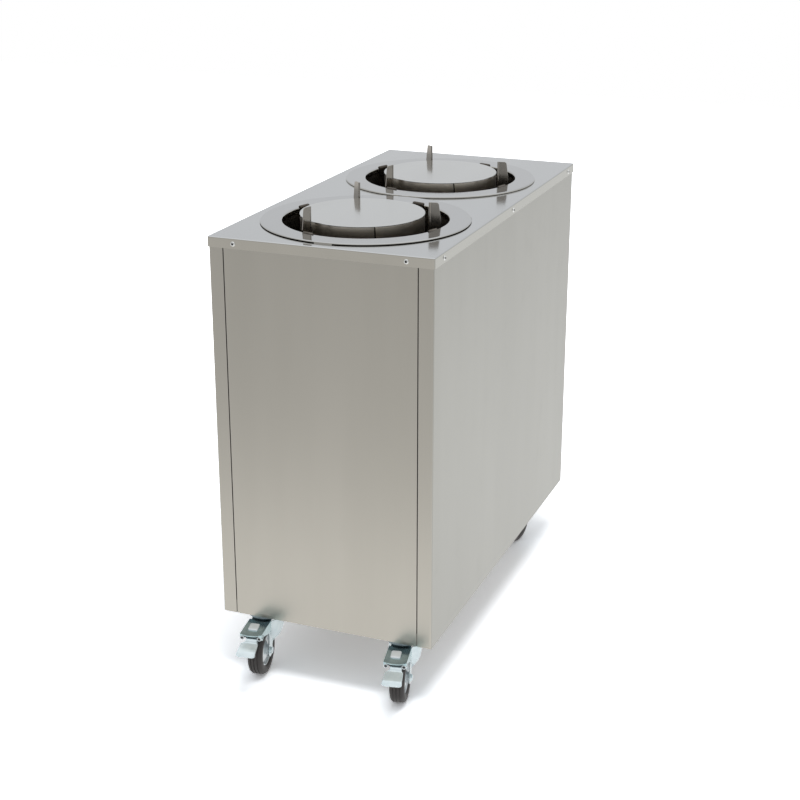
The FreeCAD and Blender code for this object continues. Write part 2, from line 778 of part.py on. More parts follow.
def brake_pedal():
    """The foot plate on its pin, with the shoe that bears on the tyre."""
    pin = pedal_pin_place(0)
    front = -cover_front
    neck_y = (pedal_neck_side - pedal_neck_width / 2, pedal_neck_side + pedal_neck_width / 2)
    fold = (front - pedal_fold_out, cover_top - pedal_fold_drop)
    crease = (front - pedal_crease_out, cover_top - pedal_crease_drop)
    tip = (-pedal_reach, cover_top - pedal_tip_drop)
    solid = rod(pedal_pin_radius, pedal_pin_place(-cover_half), pedal_pin_place(cover_half))
    solid = solid.fuse(band([(pin.x, pin.z), (front - 1, pin.z - 1), fold], pedal_sheet,
                            *neck_y))
    solid = solid.fuse(band([fold, crease, tip], pedal_sheet, -pedal_width / 2,
                            pedal_width / 2))
    axle_middle = Vector(-caster_trail, 0, axle_height)
    toward = (axle_middle - pin).normalize()
    reach = (axle_middle - pin).Length - wheel_radius
    across = Vector(-toward.z, 0, toward.x) * (shoe_sheet / 2)
    corners = [pin + across, pin + across + toward * reach, pin - across + toward * reach,
               pin - across]
    shoe = side_outline([(corner.x, corner.z) for corner in corners], -shoe_width / 2,
                        shoe_width / 2)
    shoe = shoe.cut(Part.makeCylinder(wheel_radius + shoe_gap, shoe_width,
                                      Vector(-caster_trail, -shoe_width / 2, axle_height),
                                      Vector(0, 1, 0)))
    return solid.fuse(shoe).removeSplitter()


for corner, (caster_x, side_y, heading) in caster_places.items():
    caster = {"fork": fork(), "axle": axle(), "tyre": tyre(), "rim": rim()}
    if corner in braked_casters:
        caster["brake_cover"] = brake_cover()
        caster["brake_pedal"] = brake_pedal()
    pieces["caster_plate_" + corner] = moved(caster_plate(), caster_x, side_y)
    for name, shape in caster.items():
        pieces[name + "_" + corner] = moved(turned(shape, heading), caster_x, side_y)


for name, shape in pieces.items():
    shape.exportStep("parts/" + name + ".step")

print("cabinet centre x %.3f, ends %.3f and %.3f" % (cabinet_x, near_end, far_end))
print("nodes", len(pieces))
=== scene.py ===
import json
import math
import bpy
import bmesh
from mathutils import Matrix, Vector


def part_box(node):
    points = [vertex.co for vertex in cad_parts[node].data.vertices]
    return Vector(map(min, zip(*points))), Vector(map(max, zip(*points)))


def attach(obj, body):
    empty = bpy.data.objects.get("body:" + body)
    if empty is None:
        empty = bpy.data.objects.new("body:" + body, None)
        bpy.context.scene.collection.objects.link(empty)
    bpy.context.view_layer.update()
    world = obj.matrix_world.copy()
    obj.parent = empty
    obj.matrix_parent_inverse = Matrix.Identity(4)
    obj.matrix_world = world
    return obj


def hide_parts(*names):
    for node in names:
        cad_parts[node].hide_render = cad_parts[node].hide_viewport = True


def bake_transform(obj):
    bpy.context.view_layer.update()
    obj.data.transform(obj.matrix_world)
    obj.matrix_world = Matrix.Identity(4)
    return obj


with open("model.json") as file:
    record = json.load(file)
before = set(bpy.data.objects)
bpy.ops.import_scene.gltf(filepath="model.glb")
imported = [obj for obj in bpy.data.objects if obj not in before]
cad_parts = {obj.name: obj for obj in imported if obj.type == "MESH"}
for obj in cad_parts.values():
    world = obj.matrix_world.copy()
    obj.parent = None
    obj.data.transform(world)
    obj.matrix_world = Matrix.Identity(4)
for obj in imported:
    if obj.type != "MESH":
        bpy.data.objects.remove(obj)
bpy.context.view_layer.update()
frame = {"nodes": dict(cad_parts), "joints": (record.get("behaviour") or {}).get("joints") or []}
nodes = frame["nodes"]
joints = {joint["name"]: joint for joint in frame["joints"]}
ends = ("near", "far")
casters = ("near_left", "near_right", "far_left", "far_right")
braked = casters[:2]
print("stage: frame loaded,", len(nodes), "nodes")


class Wire:
    # one output of a node; plain arithmetic on it adds Math nodes
    def __init__(self, paint, socket):
        self.paint = paint
        self.socket = socket

    def __add__(self, other):
        return self.paint.maths("ADD", self, other)

    def __radd__(self, other):
        return self.paint.maths("ADD", other, self)

    def __sub__(self, other):
        return self.paint.maths("SUBTRACT", self, other)

    def __rsub__(self, other):
        return self.paint.maths("SUBTRACT", other, self)

    def __mul__(self, other):
        return self.paint.maths("MULTIPLY", self, other)

    def __rmul__(self, other):
        return self.paint.maths("MULTIPLY", other, self)

    def __pow__(self, other):
        return self.paint.maths("POWER", self, other)


class Paint:
    # one node tree, built node by node
    def __init__(self, tree, output):
        self.tree = tree
        tree.nodes.clear()
        self.output = tree.nodes.new(output)

    def node(self, kind, settings=None, values=(), out=0):
        made = self.tree.nodes.new(kind)
        for key, value in (settings or {}).items():
            setattr(made, key, value)
        pairs = values.items() if isinstance(values, dict) else enumerate(values)
        for key, value in pairs:
            self.plug(made, key, value)
        return Wire(self, made.outputs[out])

    def plug(self, made, key, value):
        if isinstance(key, int):
            socket = made.inputs[key]
        else:
            socket = next(s for s in made.inputs if key in (s.name, s.identifier))
        if isinstance(value, Wire):
            self.tree.links.new(value.socket, socket)
        elif socket.type == "RGBA" and len(value) == 3:
            socket.default_value = (*value, 1)
        else:
            socket.default_value = value

    def outputs(self, wire, *keys):
        # named or numbered outputs of the node that a wire comes from
        return [Wire(self, wire.socket.node.outputs[key]) for key in keys]

    def maths(self, operation, *values):
        return self.node("ShaderNodeMath", {"operation": operation}, values)

    def place(self, scale=(1, 1, 1), turn=(0, 0, 0)):
        spot = self.node("ShaderNodeTexCoord", out="Object")
        values = {"Vector": spot, "Scale": scale, "Rotation": turn}
        return self.node("ShaderNodeMapping", {}, values)

    def parts(self, spot):
        return self.outputs(self.node("ShaderNodeSeparateXYZ", {}, {0: spot}), 0, 1, 2)

    def noise(self, kind, spot):
        # kind is a scale, a detail and a roughness
        scale, detail, rough = kind
        values = {"Vector": spot, "Scale": scale, "Detail": detail, "Roughness": rough}
        return self.node("ShaderNodeTexNoise", {}, values)

    def ramp(self, value, low, high, a=0.0, b=1.0):
        values = {"Value": value, "From Min": low, "From Max": high, "To Min": a, "To Max": b}
        return self.node("ShaderNodeMapRange", {"interpolation_type": "SMOOTHSTEP"}, values)

    def mix(self, mask, first, second, blend="MIX"):
        # the Mix node's colour is its output 2
        settings = {"data_type": "RGBA", "blend_type": blend}
        values = {"Factor_Float": mask, "A_Color": first, "B_Color": second}
        return self.node("ShaderNodeMix", settings, values, out=2)

    def bump(self, height, strength, distance):
        values = {"Height": height, "Strength": strength, "Distance": distance}
        return self.node("ShaderNodeBump", {}, values)

    def rays(self):
        # 1 for camera rays, and 1 for rays from a mirror or through glass
        path = self.node("ShaderNodeLightPath")
        kinds = ("Is Camera Ray", "Is Glossy Ray", "Is Transmission Ray")
        camera, glossy, through = self.outputs(path, *kinds)
        return camera, self.maths("MAXIMUM", glossy, through)


class Finish(Paint):
    # a material with one principled shader
    def __init__(self, name):
        self.material = bpy.data.materials.new(name)
        self.material.use_nodes = True
        Paint.__init__(self, self.material.node_tree, "ShaderNodeOutputMaterial")
        self.shader = self.tree.nodes.new("ShaderNodeBsdfPrincipled")
        self.tree.links.new(self.shader.outputs[0], self.output.inputs["Surface"])

    def set(self, **values):
        for key, value in values.items():
            self.plug(self.shader, key.replace("_", " "), value)


# in the dictionaries of finishes each noise is a scale, a detail and a roughness,
# edges are where a ramp starts and ends, and a bump is its strength and its height in metres
brushed = {
    "fine": (1100.0, 3.0, 0.6), "bands": (11.0, 2.0, 0.5),
    "cloud": (7.0, 3.0, 0.55), "smudge": (24.0, 4.0, 0.6),
    "fineStretch": 0.02, "bandStretch": 0.12, "smudgeStretch": (1, 1, 0.6),
    "bandEdges": (0.3, 0.7), "smudgeEdges": (0.55, 0.8),
    "worn": (0.93, 0.93, 0.925), "bandWear": 0.5, "fineWear": 0.3, "smudgeRough": 0.03,
    # the side and top edges blend in the painted side shade by which way a face points
    "sideEdges": (0.25, 0.75), "topEdges": (0.25, 0.85), "bump": (0.05, 0.0001),
}


def stretched(grain, share):
    # a texture scale that draws a noise out along one axis
    return tuple(share if axis == grain else 1 for axis in "xyz")


def brushedSteel(name, colour, grain, roughness, streak=0.02, paintedSideTones=None):
    # sheet steel: a fine grain along one axis, broad faint bands and handling marks.
    # the optional pair gives the colours that faces along X and along Y have instead: painted
    # shade and reflection, for how the light falls on each side
    b = brushed
    paint = Finish(name)
    fine = paint.noise(b["fine"], paint.place(stretched(grain, b["fineStretch"])))
    bands = paint.noise(b["bands"], paint.place(stretched(grain, b["bandStretch"])))
    bands = paint.ramp(bands, *b["bandEdges"])
    cloud = paint.noise(b["cloud"], paint.place())
    smudge = paint.noise(b["smudge"], paint.place(b["smudgeStretch"]))
    smudge = paint.ramp(smudge, *b["smudgeEdges"])
    base = colour
    if paintedSideTones:
        normal, = paint.outputs(paint.node("ShaderNodeNewGeometry"), "True Normal")
        x, y, z = paint.parts(normal)
        # faces along X, along Y and upwards are blended to their own colours: painted shade and
        # reflection
        sides = paint.mix(paint.ramp(x * x, *b["sideEdges"]), paintedSideTones[1], paintedSideTones[0])
        base = paint.mix(paint.ramp(z, *b["topEdges"]), sides, colour)
    wear = bands * b["bandWear"] + fine * b["fineWear"]
    paint.set(Base_Color=paint.mix(wear, base, b["worn"], "MULTIPLY"), Metallic=1.0)
    rough = roughness + (fine - 0.5) * streak * 2 + smudge * b["smudgeRough"]
    paint.set(Roughness=rough + (cloud - 0.5) * streak)
    paint.set(Normal=paint.bump(fine, *b["bump"]))
    return paint.material


plated = {
    "mottle": (60.0, 4.0, 0.6), "mottleEdges": (0.3, 0.7), "mottleRough": 0.12,
    "scratch": (900.0, 2.0, 0.6), "scratchStretch": (1, 0.08, 1), "scratchTurn": (0.3, 0.2, 0.5),
    "scratchRough": 0.1, "bump": (0.08, 0.0001),
}


def plainSteel(name, colour, shade, roughness, metal=1.0):
    # plated or mill finish steel: a soft mottle and fine scratches
    p = plated
    paint = Finish(name)
    mottle = paint.noise(p["mottle"], paint.place())
    scratch = paint.noise(p["scratch"], paint.place(p["scratchStretch"], p["scratchTurn"]))
    base = paint.mix(paint.ramp(mottle, *p["mottleEdges"]), shade, colour)
    paint.set(Base_Color=base, Metallic=metal)
    rough = roughness + (mottle - 0.5) * p["mottleRough"] + (scratch - 0.5) * p["scratchRough"]
    paint.set(Roughness=rough)
    paint.set(Normal=paint.bump(scratch, *p["bump"]))
    return paint.material


dents = {
    "radius": 0.163, "pitch": 0.0095, "fullTurn": 6.2832, "edges": (0.7, 1.3), "share": 0.85,
    # the near black in the dents is painted shade
    "dark": (0.02, 0.018, 0.015), "mottle": (50.0, 3.0, 0.6), "mottleRough": 0.12,
    "rough": 0.34, "dentRough": 0.3, "bump": (0.5, 0.0006),
}


def piercedSteel(name, middle, colour, shade):
    # the well's wall: rows of small round dents set on the diagonal, each painted near black
    # inside as shade
    d = dents
    paint = Finish(name)
    x, y, z = paint.parts(paint.place())
    around = paint.maths("ARCTAN2", y - middle[1], x - middle[0]) * d["radius"]
    wave = d["fullTurn"] / d["pitch"]
    first = paint.maths("COSINE", (around + z) * wave)
    second = paint.maths("COSINE", (around - z) * wave)
    dots = paint.ramp(first + second, *d["edges"])
    mottle = paint.noise(d["mottle"], paint.place())
    base = paint.mix(dots * d["share"], paint.mix(mottle, colour, shade), d["dark"])
    rough = d["rough"] + (mottle - 0.5) * d["mottleRough"] + dots * d["dentRough"]
    paint.set(Base_Color=base, Metallic=1.0, Roughness=rough)
    paint.set(Normal=paint.bump(1.0 - dots, *d["bump"]))
    return paint.material


rubbed = {
    "grain": (900.0, 3.0, 0.6), "grainRough": 0.1, "patch": (45.0, 4.0, 0.6),
    "patchEdges": (0.45, 0.75), "patchRough": 0.2, "dust": 0.6, "rough": 0.5,
    "bump": (0.25, 0.0002),
}


def rubber(name, colour, dust):
    r = rubbed
    paint = Finish(name)
    grain = paint.noise(r["grain"], paint.place())
    patch = paint.ramp(paint.noise(r["patch"], paint.place()), *r["patchEdges"])
    paint.set(Base_Color=paint.mix(patch * r["dust"], colour, dust))
    rough = r["rough"] + patch * r["patchRough"] + (grain - 0.5) * r["grainRough"]
    paint.set(Roughness=rough)
    paint.set(Normal=paint.bump(grain, *r["bump"]))
    return paint.material


moulded = {"cloud": (80.0, 3.0, 0.5), "rough": 0.42, "cloudRough": 0.15, "bump": (0.1, 0.0002)}


def nylon(name, colour, shade):
    m = moulded
    paint = Finish(name)
    cloud = paint.noise(m["cloud"], paint.place())
    paint.set(Base_Color=paint.mix(cloud, colour, shade))
    paint.set(Roughness=m["rough"] + (cloud - 0.5) * m["cloudRough"])
    paint.set(Normal=paint.bump(cloud, *m["bump"]))
    return paint.material


def middleOf(node):
    low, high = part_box(node)
    return (low + high) / 2


# pairs of colours for the faces along X and along Y: painted shade and reflection, for how the
# light falls on each side
panelPaintedSideTones = ((0.554, 0.527, 0.468), (0.452, 0.447, 0.412))
lidPaintedSideTones = ((0.60, 0.57, 0.505), (0.505, 0.50, 0.46))
ringPaintedSideTones = ((0.66, 0.63, 0.57), (0.60, 0.58, 0.53))
finish = {
    "lid": brushedSteel("lidSteel", (0.63, 0.64, 0.65), "x", 0.12, paintedSideTones=lidPaintedSideTones),
    "end": brushedSteel("endSteel", panelPaintedSideTones[0], "z", 0.30, paintedSideTones=panelPaintedSideTones),
    "side": brushedSteel("sideSteel", panelPaintedSideTones[1], "z", 0.30, paintedSideTones=panelPaintedSideTones),
    "ring": brushedSteel("ringSteel", (0.56, 0.565, 0.575), "x", 0.10, paintedSideTones=ringPaintedSideTones),
    "disc": brushedSteel("discSteel", (0.68, 0.685, 0.68), "x", 0.14),
    "band": brushedSteel("bandSteel", (0.84, 0.78, 0.69), "x", 0.30, streak=0.05),
    "guide": brushedSteel("guideSteel", (0.42, 0.39, 0.35), "z", 0.20),
    # near black: painted shade on the channel straps in the well's shade
    "hook": brushedSteel("hookSteel", (0.11, 0.095, 0.08), "z", 0.30),
    "inner": plainSteel("innerSteel", (0.30, 0.28, 0.25), (0.20, 0.19, 0.17), 0.42),
    # dark: painted shade on the spring channels inside the well
    "channel": plainSteel("channelSteel", (0.22, 0.20, 0.175), (0.13, 0.115, 0.10), 0.34),
    "zinc": plainSteel("zincSteel", (0.82, 0.91, 0.93), (0.70, 0.80, 0.83), 0.20, metal=0.7),
    # a darker copy of the zinc: painted shade on the swivel head and the caster's top plate under
    # the panel
    "head": plainSteel("headSteel", (0.34, 0.40, 0.42), (0.24, 0.29, 0.31), 0.24),
    # near black: the pedal's pin, and painted shade in the screw sockets and in the cover's rolled
    # corners
    "pin": plainSteel("pinSteel", (0.10, 0.10, 0.10), (0.05, 0.05, 0.05), 0.40),
    # a darker, bluer copy of the zinc: painted reflection of the dark underside on the brake cover
    "cover": plainSteel("coverSteel", (0.56, 0.70, 0.72), (0.42, 0.56, 0.58), 0.20, metal=0.9),
    "rim": plainSteel("rimSteel", (0.93, 0.97, 0.98), (0.86, 0.91, 0.93), 0.22, metal=0.45),
    "screw": plainSteel("screwSteel", (0.90, 0.90, 0.88), (0.78, 0.78, 0.76), 0.22),
    "spring": plainSteel("springSteel", (0.45, 0.45, 0.46), (0.30, 0.30, 0.31), 0.30),
    "tyre": rubber("tyreRubber", (0.050, 0.044, 0.041), (0.095, 0.084, 0.078)),
    "glide": nylon("glideNylon", (0.74, 0.72, 0.66), (0.66, 0.64, 0.58)),
}
for end in ends:
    middle = middleOf("well_tube_" + end)
    colours = ((0.30, 0.27, 0.23), (0.20, 0.18, 0.15))
    finish["wall" + end.title()] = piercedSteel("wallSteel" + end.title(), middle, *colours)
# the first entry that a node's name starts with decides its finish
finishOf = (
    ("lid_panel", "lid"), ("end_panel", "end"), ("side_panel", "side"), ("well_ring", "ring"),
    ("platform_disc", "disc"), ("platform_skirt", "band"), ("guide_brackets", "inner"),
    ("guide_", "guide"), ("lid_screws", "screw"), ("springs", "spring"), ("glides", "glide"),
    ("well_tube_near", "wallNear"), ("well_tube_far", "wallFar"), ("spring_channels", "channel"),
    ("tyre", "tyre"), ("fork", "zinc"), ("axle", "zinc"), ("rim", "rim"), ("brake", "zinc"),
    ("caster_plate", "head"), ("caster_bolts", "zinc"), ("", "inner"),
)
for name, node in nodes.items():
    chosen = next(value for key, value in finishOf if name.startswith(key))
    for slot in node.material_slots:
        slot.material = finish[chosen]
print("stage: finishes on the frame's nodes")


# shapes are in millimetres from here on, and core is the radius that closes a lathe's middle
core = 0.01


def addObject(name, data):
    made = bpy.data.objects.new(name, data)
    bpy.context.scene.collection.objects.link(made)
    return made


class Form:
    # a mesh under construction
    def __init__(self):
        self.mesh = bmesh.new()

    def loft(self, rings, closed=False):
        # rings of as many points each, joined one to the next, with a cap on each end
        rows = [[self.mesh.verts.new(Vector(point) / 1000) for point in ring] for ring in rings]
        count = len(rows[0])
        pairs = list(zip(rows, rows[1:])) + ([(rows[-1], rows[0])] if closed else [])
        for first, second in pairs:
            for k in range(count):
                after = (k + 1) % count
                self.mesh.faces.new((first[k], first[after], second[after], second[k]))
        if not closed:
            self.mesh.faces.new(rows[0][::-1])
            self.mesh.faces.new(rows[-1])
        return self

    def prism(self, outline, low, high, axis):
        # a flat outline pushed between two levels along Y or Z
        turn = {"y": lambda u, v, w: (u, w, v), "z": lambda u, v, w: (u, v, w)}[axis]
        return self.loft([[turn(u, v, level) for u, v in outline] for level in (low, high)])

    def lathe(self, profile, steps, axis, middle=(0, 0, 0)):
        # (radius, along) points spun round an axis; a third value makes that ring a hexagon
        rings = []
        for step in range(steps):
            angle = 2 * math.pi * step / steps
            bend = 1 / math.cos((angle + math.pi / 6) % (math.pi / 3) - math.pi / 6)
            ring = []
            for radius, along, *flat in profile:
                reach = radius * (bend if flat else 1)
                u, v = reach * math.cos(angle), reach * math.sin(angle)
                spot = {"x": (along, u, v), "y": (u, along, v), "z": (u, v, along)}[axis]
                ring.append(Vector(spot) + Vector(middle))
            rings.append(ring)
        return self.loft(rings, closed=True)

    def tube(self, path, radius, sides):
        # a round wire along points
        spots = [Vector(point) for point in path]
        turns = [2 * math.pi * k / sides for k in range(sides)]
        rings = []
        side = Vector((0.31, 0.42, 0.85))
        for index, spot in enumerate(spots):
            ahead = spots[min(index + 1, len(spots) - 1)] - spots[max(index - 1, 0)]
            ahead.normalize()
            side = (side - ahead * side.dot(ahead)).normalized()
            other = ahead.cross(side)
            rings.append([spot + side * radius * math.cos(t) + other * radius * math.sin(t)
                          for t in turns])
        return self.loft(rings)

    def make(self, name, paint, slot, body, replaced, matrix=None, sharp=32):
        # edges bent by more than sharp degrees stay crisp
        bmesh.ops.recalc_face_normals(self.mesh, faces=self.mesh.faces)
        mesh = bpy.data.meshes.new(name)
        self.mesh.to_mesh(mesh)
        self.mesh.free()
        mesh.shade_smooth()
        mesh.set_sharp_from_angle(angle=math.radians(sharp))
        mesh.materials.append(finish[paint])
        piece = addObject(name, mesh)
        if matrix:
            mesh.transform(matrix)
        if body:
            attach(piece, body)
        if replaced:
            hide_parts(*replaced)
        return piece


def rounded(points, radius):
    # a closed outline with every corner rounded
    steps, most = 5, 0.49
    result = []
    count = len(points)
    for index in range(count):
        before, here, after = (Vector(points[(index + shift) % count]) for shift in (-1, 0, 1))
        back, ahead = (before - here), (after - here)
        cut = min(radius, back.length * most, ahead.length * most)
        start, end = here + back.normalized() * cut, here + ahead.normalized() * cut
        for step in range(steps + 1):
            t = step / steps
            result.append(tuple(start * (1 - t) ** 2 + here * 2 * t * (1 - t) + end * t ** 2))
    return result


def mirrored(half):
    # a lathe's profile and its mirror image
    return half + [(radius, -along, *flat) for radius, along, *flat in reversed(half)]


def polar(middle, radius, angle, level):
    x, y = middle[0] + radius * math.cos(angle), middle[1] + radius * math.sin(angle)
    return (x, y, level)


def topOf(node):
    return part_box(node)[1].z * 1000


screw = {
    "radius": 5.0, "height": 2.4, "socket": 2.1, "depth": 1.7, "bevel": 0.15, "shank": 2.0,
    "length": 7.5, "point": 0.5, "drop": 10.5, "inset": 2.0, "fromEdge": 52, "fromEnd": 47,
    "dome": ((0.50, 1.0), (0.56, 0.985), (0.64, 0.92), (0.76, 0.8), (0.88, 0.62), (0.96, 0.38),
             (1.0, 0.12), (1.0, 0.0)),
    "cupOutside": 0.05, "cupInside": 0.12, "cupRim": 0.5, "cupFoot": 0.75, "cupFloor": 0.95,
    "cupMiddle": 0.85, "steps": 36,
}


def lidScrews():
    # button heads with a six sided socket, and a near black cup in each socket: painted shade
    s = screw
    floor = s["height"] - s["depth"]
    head = [(core, floor), (s["socket"], floor, 1), (s["socket"], s["height"] - s["bevel"], 1)]
    head += [(s["radius"] * across, s["height"] * up) for across, up in s["dome"]]
    head += [(s["shank"], 0), (s["shank"], -s["length"]), (core, -s["length"] - s["point"])]
    outside, inside = s["socket"] - s["cupOutside"], s["socket"] - s["cupInside"]
    lip = s["height"] - s["cupRim"]
    shadeCup = [(core, s["cupFoot"]), (outside, s["cupFoot"], 1), (outside, lip, 1), (inside, lip, 1),
           (inside, s["cupFloor"], 1), (core, s["cupMiddle"])]
    low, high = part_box("lid_panel")
    faceX = (low.x * 1000, high.x * 1000)
    faceY = (low.y * 1000, high.y * 1000)
    level = high.z * 1000 - s["drop"]
    onEnds = (faceY[0] + s["inset"] + s["fromEdge"], faceY[1] - s["inset"] - s["fromEdge"])
    onSides = (faceX[0] + s["inset"] + s["fromEnd"], sum(faceX) / 2,
               faceX[1] - s["inset"] - s["fromEnd"])
    spots = [((x, y), "x", sign) for x, sign in zip(faceX, (-1, 1)) for y in onEnds]
    spots += [((x, y), "y", sign) for y, sign in zip(faceY, (-1, 1)) for x in onSides]
    heads, shadeCups = Form(), Form()
    for (x, y), axis, sign in spots:
        for form, profile in ((heads, head), (shadeCups, shadeCup)):
            turned = [(radius, along * sign, *flat) for radius, along, *flat in profile]
            form.lathe(turned, s["steps"], axis, (x, y, level))
    shadeCups.make("lidScrewSockets", "pin", "screw_steel", "cabinet", None, sharp=40)
    heads.make("lidScrewHeads", "screw", "screw_steel", "cabinet", ["lid_screws"], sharp=40)


lidScrews()
print("stage: lid screws")


ring = {
    "inner": 161.0, "outer": 204.0, "lift": {"near": 1.8, "far": 0.7}, "lip": 3.0, "edge": 2.2,
    "arc": (0, 0.3, 0.6, 0.9, 1.2, 1.5708), "flatFrom": 3.8, "flatTo": 3.0,
    # out from the inner radius and up from the top, under the rolled lip
    "under": ((0, -11.5), (1.4, -11.5), (1.5, -3.0), (3.2, -1.4)),
    "sheetIn": 2.0, "sheetDrop": 1.9, "rimInside": 1.2, "rimOutside": 0.2, "rimRound": 0.3,
    "tabIn": 4.5, "tabHalf": 4.3, "tabReach": 18, "tabCorner": 1.5, "tabDrop": 1.5, "steps": 180,
}


def wellRing(end):
    # a pressed flange: a rolled inner lip, a flat top and a turned down rim
    r = ring
    middle = middleOf("well_tube_" + end) * 1000
    top, lid = topOf("well_ring_" + end), topOf("lid_panel")
    foot = lid + r["lift"][end]
    inner, outer, lip, edge = r["inner"], r["outer"], r["lip"], r["edge"]
    rolled = [(inner + lip - lip * math.sin(t), top - lip + lip * math.cos(t)) for t in r["arc"]]
    turned = [(outer - edge + edge * math.sin(t), top - edge + edge * math.cos(t))
              for t in reversed(r["arc"])]
    under = [(inner + out, top + up) for out, up in r["under"]]
    under += [(outer - r["sheetIn"], top - r["sheetDrop"]), (outer - r["rimInside"], foot),
              (outer - r["rimOutside"], foot), (outer, foot + r["rimRound"])]
    profile = [(inner + r["flatFrom"], top)] + rolled + under + turned
    profile += [(outer - r["flatTo"], top)]
    form = Form().lathe(profile, r["steps"], "z", (middle.x, middle.y, 0))
    half, reach = r["tabHalf"], r["tabReach"]
    for sign in (-1, 1):
        x = sign * (outer - r["tabIn"])
        low, high = middle.x + x - half, middle.x + x + half
        tab = rounded([(low, -reach), (high, -reach), (high, reach), (low, reach)], r["tabCorner"])
        form.prism(tab, lid, top - r["tabDrop"], "z")
    name = "ring" + end.title()
    form.make(name, "ring", "well_steel", "cabinet", ["well_ring_" + end], sharp=50)


hook = {
    "angles": (-18, 72), "thick": 1.2, "uprights": 3,
    # radius and height over the ring's top, over the well's rim; the uprights come first
    "strap": ((158.6, -16), (158.6, -2), (158.8, 0.6), (159.6, 2.2), (161.0, 2.9), (163.0, 2.9),
              (164.6, 2.2), (165.6, 0.4)),
    # distance from the strap's middle, and how far its edge is rounded down there
    "across": ((-13.0, 1.2), (-12.4, 0.4), (-11, 0), (11, 0), (12.4, 0.4), (13.0, 1.2)),
}


def wellHooks(end):
    # the straps of the two spring channels at the back, over the well's rim
    h = hook
    middle = middleOf("well_tube_" + end) * 1000
    path = [(r, topOf("well_ring_" + end) + up) for r, up in h["strap"]]
    form = Form()
    for angle in h["angles"]:
        t = math.radians(angle)
        out, side = Vector((math.cos(t), math.sin(t), 0)), Vector((-math.sin(t), math.cos(t), 0))
        rings = []
        for across, shrink in h["across"]:
            line = [(r, z - shrink) for r, z in path]
            back = [(r + h["thick"], z - shrink) for r, z in path[:h["uprights"]]]
            back += [(r, z - h["thick"] - shrink) for r, z in path[h["uprights"]:]]
            rings.append([out * r + side * across + Vector((middle.x, middle.y, z))
                          for r, z in line + back[::-1]])
        form.loft(rings)
    name = "channelHooks" + end.title()
    form.make(name, "hook", "inner_steel", "cabinet", None, sharp=40)


band = {
    "seam": 214.2, "slant": {"near": 0.020, "far": 0.034}, "gap": 0.019, "steps": 150,
    "lapFrom": 0.985, "lapIn": -1.3, "lapTop": 0.3, "lapFoot": 1.2,
    # out from the radius, then up from the top edge or from the lower edge
    "upper": ((0, 0), (-1.1, 0)), "lower": ((-1.1, 0.6), (-0.6, 0), (-0.1, 0.2), (0, 0.8)),
    # out from the radius, and the angle on from the seam
    "lap": ((-0.5, 0.0), (0.75, 0.001), (0.75, 0.0145), (-0.5, 0.0160)),
}


def platformBand(end):
    # the brushed band under the platform's edge, its ends lapped at a slanted seam
    b = band
    low, high = (point * 1000 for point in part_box("platform_skirt_" + end))
    middle = (low + high) / 2
    radius = max(high.x - low.x, high.y - low.y) / 2
    seam, slant = math.radians(b["seam"]), b["slant"][end]
    section = [(radius + out, high.z + up) for out, up in b["upper"]]
    section += [(radius + out, low.z + up) for out, up in b["lower"]]
    form = Form()
    rings = []
    for step in range(b["steps"] + 1):
        share = step / b["steps"]
        angle = seam + (2 * math.pi - b["gap"]) * share
        lap = b["lapIn"] if share > b["lapFrom"] else 0.0
        lean = [slant * (high.z - z) / (high.z - low.z) for r, z in section]
        rings.append([polar(middle, r + lap, angle + more, z)
                      for (r, z), more in zip(section, lean)])
    form.loft(rings)
    # the turned out end of the lap
    edges = ((high.z - b["lapTop"], 0.0), (low.z - b["lapFoot"], slant))
    form.loft([[polar(middle, radius + out, seam + turn + lean, z) for out, turn in b["lap"]]
               for z, lean in edges])
    name = "platformBand" + end.title()
    replaced = ["platform_skirt_" + end]
    form.make(name, "band", "well_steel", "platform_" + end, replaced, sharp=30)


for end in ends:
    wellRing(end)
    wellHooks(end)
    platformBand(end)
print("stage: rings, hooks and bands")


coil = {
    "angles": (-18, 72, 162, 252), "turns": 26, "steps": 14, "wire": 0.75, "sides": 8,
    "radius": 4.0, "lead": 9.0, "width": 10.0, "skew": 18,
}


def springCoils(end):
    # four springs, each a coil with a straight lead at both ends
    c = coil
    low, high = (point * 1000 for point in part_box("springs_" + end))
    middle = middleOf("well_tube_" + end) * 1000
    circle = (high.x - low.x - c["width"]) / 2 / math.cos(math.radians(c["skew"]))
    count = c["turns"] * c["steps"]
    form = Form()
    for angle in c["angles"]:
        t = math.radians(angle)
        path = [polar(middle, circle, t, high.z)]
        for step in range(count + 1):
            turn = 2 * math.pi * step / c["steps"]
            level = high.z - c["lead"] - (high.z - low.z - 2 * c["lead"]) * step / count
            path.append(polar(path[0], c["radius"], turn, level))
        path.append(polar(middle, circle, t, low.z))
        form.tube(path, c["wire"], c["sides"])
    name = "springCoils" + end.title()
    piece = form.make(name, "spring", "spring_steel", None, ["springs_" + end])
    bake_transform(piece)


for end in ends:
    springCoils(end)
print("stage: springs")


# a caster's shapes stand round its swivel axis. front and ahead are towards -X there,
# the side that the wheel trails on and the pedal sticks out of
caster = {"trail": 40.0, "axle": 50.0, "wheel": 50.0, "pinAhead": 97.0, "pinLevel": 108.0}
axleSpot = (-caster["trail"], 0, caster["axle"])
pinSpot = (-caster["pinAhead"], 0, caster["pinLevel"])


def tag(name):
    return "".join(word.title() for word in name.split("_"))


def casterMatrix(name):
    turn = joints["caster_swivel_" + name]
    spin = joints["wheel_spin_" + name]["axis"]
    heading = math.atan2(-spin[0], spin[1])
    x, y = turn["pos_m"][:2]
    return Matrix.Translation((x, y, 0)) @ Matrix.Rotation(heading, 4, "Z")


